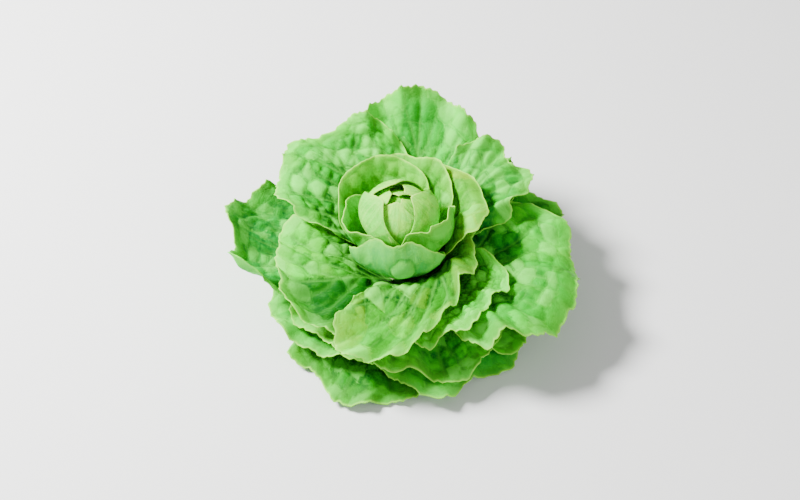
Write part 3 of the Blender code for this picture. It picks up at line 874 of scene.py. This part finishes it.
# The front left leaf is folded along its midrib, and its lower half is painted a deeper green as the shade of
# the fold.
PAINTED_SHADE_SIDES = {"open_leaf_front_left": 0.95}

# How wide and how high the blisters of a leaf are, in mm, where they differ from the others'.
OPEN_BLISTER = (BLISTER_SIZE, 3.4)
OPEN_BLISTERS = {
    "open_leaf_front_right": (8.5, 3.0),
    "open_leaf_front": (17.0, 2.4),
    "open_leaf_back": (19.0, 3.0),
}

for leaf in OPEN_LEAVES:
    size, blister = OPEN_BLISTERS.get(leaf.name, OPEN_BLISTER)
    sheet = Sheet(heap.lay(leaf), rows=84, columns=120, blister=blister, folds=5.0, frill=1.2, size=size)
    painted_shade_side = PAINTED_SHADE_SIDES.get(leaf.name, 0.0)
    sheets.append(build_leaf(sheet, outer_leaf, OPEN_TINTS[leaf.name], painted_shade_side))


# WRAPPER LEAVES. Six younger leaves that stand round the heart with their rims rolled outwards. They are
# paler and smoother than the open leaves, the right one is olive yellow and the front one is blue green.

WRAPPER_LEAVES = [
    Leaf("wrapper_leaf_right", 24, 31, [(35, 55), (49, 74), (60, 92), (75, 89)], 96, ruffle=4,
         lobe=0.02),
    Leaf("wrapper_leaf_back", 72, 36, [(34, 56), (49, 77), (61, 101)], 88, ruffle=4, phase=2.0,
         lobe=0.02),
    Leaf("wrapper_leaf_back_left", 118, 42, [(32, 57), (47, 79), (57, 104)], 104, ruffle=3, phase=1.0,
         lobe=0.015),
    Leaf("wrapper_leaf_front", 264, 45, [(35, 56), (49, 73), (51, 88), (42, 104)], 98, ruffle=2, phase=5.0,
         curl=0, lobe=0.01),
    Leaf("wrapper_leaf_left", 196, 50, [(31, 58), (44, 78), (47, 98)], 98, ruffle=2, phase=4.0, curl=0,
         lobe=0.015),
    Leaf("wrapper_leaf_front_right", 322, 55, [(29, 58), (42, 76), (45, 96), (40, 107)], 92, ruffle=2,
         phase=3.0, curl=0, lobe=0.015),
]
WRAPPER_TINTS = {
    "wrapper_leaf_right": (1.0, 0.0, 0.0),
    "wrapper_leaf_back": (0.2, 0.0, 0.1),
    "wrapper_leaf_back_left": (0.35, 0.0, 0.0),
    "wrapper_leaf_front": (0.0, 0.95, 0.0),
    "wrapper_leaf_left": (0.1, 0.3, 0.0),
    "wrapper_leaf_front_right": (0.2, 0.2, 0.0),
}

# The front wrapper bulges outwards in one round knob, low down and right of its midrib: the knob's place
# as (v, share of the length), then its radius and its height in mm.
KNOB_V = 0.12
KNOB_SHARE = 0.70
KNOB_RADIUS = 9.0
KNOB_HEIGHT = 5.0


def raise_knob(sheet):
    """Bulges the knob out of the sheet, paler in its middle, with a pale line round it and a dark ring of
    painted shade outside that.
    """
    middle = np.argmin(np.hypot(sheet.v - KNOB_V, sheet.share - KNOB_SHARE))
    away = np.linalg.norm(sheet.flat - sheet.flat.reshape(-1, 2)[middle], axis=-1) / KNOB_RADIUS
    knob = np.clip(1 - away**2, 0, 1) ** 0.5
    sheet.swell = sheet.swell * (1 - knob) - KNOB_HEIGHT * knob
    sheet.vein = np.maximum(sheet.vein * (away > 1.2), np.exp(-(((away - 0.95) / 0.10) ** 2)))
    sheet.own = np.where(away < 1, 1.0, sheet.own)
    sheet.cells = np.where(away < 1, np.clip(2 - 2 * away, 0.25, 1), sheet.cells)
    # Painted shade: a dark ring round the knob, standing for the shade of a groove that the mesh does not
    # have.
    sheet.shade = 0.9 * np.exp(-(((away - 1.12) / 0.10) ** 2))


INNER_LIGHT = colour(0.07, 0.68, 0.003)
INNER_MIDDLE = colour(0.02, 0.44, 0.002)
INNER_DEEP_AND_SHADE = colour(0.0, 0.13, 0.004)
INNER_VEIN = colour(0.22, 0.80, 0.05)
INNER_RIM = colour(0.40, 0.90, 0.07)

inner_leaf = leaf_finish(
    "inner_leaf", INNER_LIGHT, INNER_MIDDLE, INNER_DEEP_AND_SHADE, INNER_VEIN, INNER_RIM, LEAF_YELLOW
)
for leaf in WRAPPER_LEAVES:
    sheet = Sheet(heap.lay(leaf), rows=72, columns=96, blister=1.6, folds=0.8, frill=0.25, notch=0.004)
    if leaf.name == "wrapper_leaf_front":
        raise_knob(sheet)
    sheets.append(build_leaf(sheet, inner_leaf, WRAPPER_TINTS[leaf.name]))


# HEART. The closed bud of the head: small cupped leaves folded over one another round a yellow centre. They
# never saw the sun, so they are pale, crisp and smooth, with a thick midrib and thin bright rims.

# The heart's side from its foot to its top, in (radius, height) mm.
HEART_COURSE = [
    (5, 46), (10, 52), (17, 59), (24, 67), (31, 77), (35, 88), (33, 100), (25, 109), (14, 115), (0, 119),
]

# Each heart leaf stands a step further round than the one outside it, in degrees, and is smaller by a share.
HEART_LEAVES = 8
HEART_FIRST_AZIMUTH = 205.0
HEART_STEP = 137.5
HEART_SHRINK = 0.048
HEART_HEIGHT_SHARE = 0.38
HEART_INSET = 0.985
HEART_LEAF_LENGTH = 60.0
HEART_BLADE = 0.7
HEART_VEIN_ENDS = (-0.85, -0.6, -0.38, -0.18, 0.2, 0.4, 0.62, 0.86)

# The core is a little narrower than the heart up to one height, and from the next one on it is a small bud.
CORE_SHARE = 0.95
CORE_STEP = 83.0
BUD_SHARE = 0.62
BUD_START = 88.0
BUD_RISE = 0.83


def heart_shell(number, rows, columns, dice):
    """(points, v, u, half width) of one heart leaf: a part of the heart's shell, sunk at its root."""
    size = 1 - HEART_SHRINK * number
    rise = 1 - HEART_HEIGHT_SHARE * (1 - size)
    course = smooth_course(HEART_COURSE)
    along = np.concatenate([[0], np.cumsum(np.hypot(*np.diff(course, axis=0).T))])
    along /= along[-1]
    g = np.linspace(0, 1, rows + 1)[:, None]
    w = np.linspace(-1, 1, columns + 1)[None, :]
    rim = 0.85 + 0.016 * number - 0.28 * np.abs(w) ** 2.4 + 0.012 * np.sin(5 * w + 2.1 * number)
    rim = rim + 0.003 * random_waves(w * 45, 5.0, dice)
    t = 0.40 + (rim - 0.40) * g
    half_turn = math.radians(74 + 4 * number)
    azimuth = math.radians(HEART_FIRST_AZIMUTH + HEART_STEP * number)
    turn = azimuth + w * half_turn * (0.72 + 0.28 * np.sin(g * math.pi))
    sink = 1 - 0.16 * np.clip(1 - g / 0.5, 0, 1) ** 1.5
    radius = np.interp(t, along, course[:, 0]) * size * sink * HEART_INSET
    height = HEART_COURSE[0][1] + (np.interp(t, along, course[:, 1]) - HEART_COURSE[0][1]) * rise
    points = np.stack([radius * np.cos(turn), radius * np.sin(turn), height + 0 * turn], axis=-1)
    return points, w + 0 * g, g + 0 * w, half_turn * 30 * size


def build_heart_leaf(number, rows, columns, finish):
    """One small cupped leaf of the heart, with a fan of veins."""
    dice = np.random.default_rng(900 + number)
    points, v, u, half_width = heart_shell(number, rows, columns, dice)
    length = HEART_LEAF_LENGTH
    flat = np.stack([v * half_width, u * length], axis=-1)
    t = np.linspace(0, 1, 8)
    lines = [(np.stack([0 * t, length * t], axis=-1), 1.6, 0.5)]
    for end in HEART_VEIN_ENDS:
        end = end + dice.uniform(-0.05, 0.05)
        side_vein = np.stack([half_width * end * t**0.8, length * (0.05 + 0.95 * t)], axis=-1)
        lines.append((side_vein, 0.9, 0.35))
    distance, vein = nearest_vein(flat, lines)
    cells, own = blister_cells(flat, 12.0, dice)
    puff = (1 - np.exp(-((distance / 3.0) ** 2))) * (0.4 + 0.6 * cells)
    points = points + grid_normals(points) * (0.5 * (puff - 0.5) * (1 - u**6))[..., None]
    normal = grid_normals(points) * HEART_BLADE / 2
    both = np.concatenate([points + normal, points - normal]).reshape(-1, 3)
    name = f"heart_leaf_{number + 1}"
    piece = mesh_piece(name, both, sheet_faces(rows, columns), "heart", finish)
    core = number / (HEART_LEAVES - 1)
    values = {
        "vein": vein * 0.8,
        "margin": np.exp(-((length * (1 - u) / 1.3) ** 2)),
        "border": np.exp(-((length * (1 - u) / 9) ** 2)),
        "puff": 0.4 + 0.6 * puff,
        "cell": cells,
        "patch": own,
        # Through the ramp in leaf_finish this paints shade towards each heart leaf's foot, between the
        # leaves.
        "outward": 0.6 + 0.4 * u,
        "yellow": 0.10 + 0.75 * core + 0 * u,
        "mint": 0.25 * (1 - core) * (number % 3 == 0) + 0 * u,
        "deep_and_shade": 0.0 * u,
        "turned": 0.0 * u,
    }
    paint(piece, **{name: np.concatenate([grid, grid]) for name, grid in values.items()})
    paint(piece, under=np.zeros(2 * u.size))
    lay_out_flat(piece, np.concatenate([flat, flat]).reshape(-1, 2) / 100 + dice.uniform(0, 30, 2))


def build_heart_core(finish):
    """The solid core that the heart's leaves are packed round: wide at the foot, with a domed bud on it."""
    course = smooth_course(HEART_COURSE, 3)
    foot = HEART_COURSE[0][1]
    wide = [(0.99 * r * CORE_SHARE, z) for r, z in course if z < CORE_STEP]
    bud = [(r * BUD_SHARE, foot + (z - foot) * BUD_RISE) for r, z in course if z > BUD_START]
    rings = np.array([*wide, *bud[:-1]])
    turn = np.linspace(0, 2 * math.pi, ROUND_SIDES, endpoint=False)[None, :]
    radius = rings[:, :1] - 0.3 + 0.25 * np.sin(7 * turn + rings[:, 1:] / 6)
    points = np.stack([radius * np.cos(turn), radius * np.sin(turn), rings[:, 1:] + 0 * turn], axis=-1)
    points = [(0, 0, foot), (0, 0, bud[-1][1]), *points.reshape(-1, 3)]
    faces = turned_faces(len(rings), ROUND_SIDES)
    core = mesh_piece("heart_core", points, faces, "heart", finish)
    every = np.ones(len(points))
    paint(core, puff=every, cell=every, outward=every, yellow=0.8 * every)
    for name in ("vein", "margin", "border", "patch", "mint", "deep_and_shade", "under", "turned"):
        paint(core, **{name: 0 * every})
    lay_out_flat(core, np.array(points)[:, :2] / 100)


HEART_LIGHT = colour(0.26, 0.92, 0.03)
HEART_MIDDLE = colour(0.13, 0.78, 0.01)
HEART_DEEP_AND_SHADE = colour(0.02, 0.34, 0.006)
HEART_VEIN = colour(0.40, 0.94, 0.10)
HEART_RIM = colour(0.58, 0.97, 0.14)
HEART_YELLOW = colour(0.48, 0.90, 0.03)

heart_leaf = leaf_finish(
    "heart_leaf", HEART_LIGHT, HEART_MIDDLE, HEART_DEEP_AND_SHADE, HEART_VEIN, HEART_RIM, HEART_YELLOW
)
build_heart_core(heart_leaf)
for number in range(HEART_LEAVES):
    build_heart_leaf(number, rows=44, columns=84, finish=heart_leaf)


# FOLDS AND BLISTERS. The tissue of a leaf grows faster than its veins, so it swells up between them and its
# rim waves. That comes last, because a leaf swells only as far as the leaves round it leave room.

# The heart's side is the lid over the innermost leaves, as a climb angle at each reach.
heart_line = smooth_course(HEART_COURSE)
heart_reach = np.hypot(heart_line[:, 0] - HUB_RADIUS, heart_line[:, 1] - HUB_HEIGHT)
heart_climb = np.arctan2(heart_line[:, 1] - HUB_HEIGHT, heart_line[:, 0] - HUB_RADIUS)
lid = np.interp(heap.reach, heart_reach, heart_climb, right=math.pi)

for sheet in sheets:
    points = leaned(sheet.points(sheet.swollen(heap, lid))) * MM
    points = np.clip(points, *packed_box)
    sheet.piece.data.vertices.foreach_set("co", points.astype(np.float32).ravel())
    sheet.piece.data.update()


# FLOOR, LIGHT AND CAMERA. A plain pale floor, a broad soft light from the upper left with a weak one on the
# other side, and the eye about 50 degrees above the floor, where the photograph looks from.

FLOOR_REACH = 6.0


def add_floor():
    """A flat pale floor, in metres."""
    far = FLOOR_REACH
    mesh = bpy.data.meshes.new("floor")
    mesh.from_pydata([(-far, -far, 0), (far, -far, 0), (far, far, 0), (-far, far, 0)], [], [(0, 1, 2, 3)])
    look = Finish("floor")
    look.set(Base_Color=colour(0.86, 0.86, 0.85), Roughness=0.8)
    mesh.materials.append(look.material)
    floor = bpy.data.objects.new("floor", mesh)
    bpy.context.scene.collection.objects.link(floor)


def add_light(name, place, target, size, power):
    """A round soft lamp of a size in metres and a power in watts, turned to face its target."""
    light = bpy.data.lights.new(name, "AREA")
    light.shape = "DISK"
    light.size = size
    light.energy = power
    lamp = bpy.data.objects.new(name, light)
    lamp.location = place
    lamp.rotation_euler = look_along(np.array(target) - np.array(place))
    bpy.context.scene.collection.objects.link(lamp)


def look_along(direction):
    """The rotation that turns a lamp to face a direction."""
    x, y, z = direction / np.linalg.norm(direction)
    return (math.acos(-z), 0, math.atan2(-x, y))


add_floor()
HEAD_MIDDLE = (0, 0, 0.05)
add_light("window", place=(-1.15, 0.3, 1.25), target=HEAD_MIDDLE, size=0.5, power=118)
add_light("fill", place=(1.2, -1.0, 0.9), target=HEAD_MIDDLE, size=1.4, power=13)

world = bpy.data.worlds.new("studio")
world.use_nodes = True
background = world.node_tree.nodes["Background"]
background.inputs["Color"].default_value = colour(1, 1, 1)
background.inputs["Strength"].default_value = 0.42
bpy.context.scene.world = world

EYE_ELEVATION = math.radians(50)
EYE_DISTANCE = 1.303
EYE_TARGET = (-0.005, 0.0, 0.052)
camera = bpy.data.objects.new("camera", bpy.data.cameras.new("camera"))
camera.data.lens = 70
camera.location = (
    EYE_TARGET[0],
    EYE_TARGET[1] - EYE_DISTANCE * math.cos(EYE_ELEVATION),
    EYE_TARGET[2] + EYE_DISTANCE * math.sin(EYE_ELEVATION),
)
camera.rotation_euler = (math.pi / 2 - EYE_ELEVATION, 0, 0)
bpy.context.scene.collection.objects.link(camera)
bpy.context.scene.camera = camera
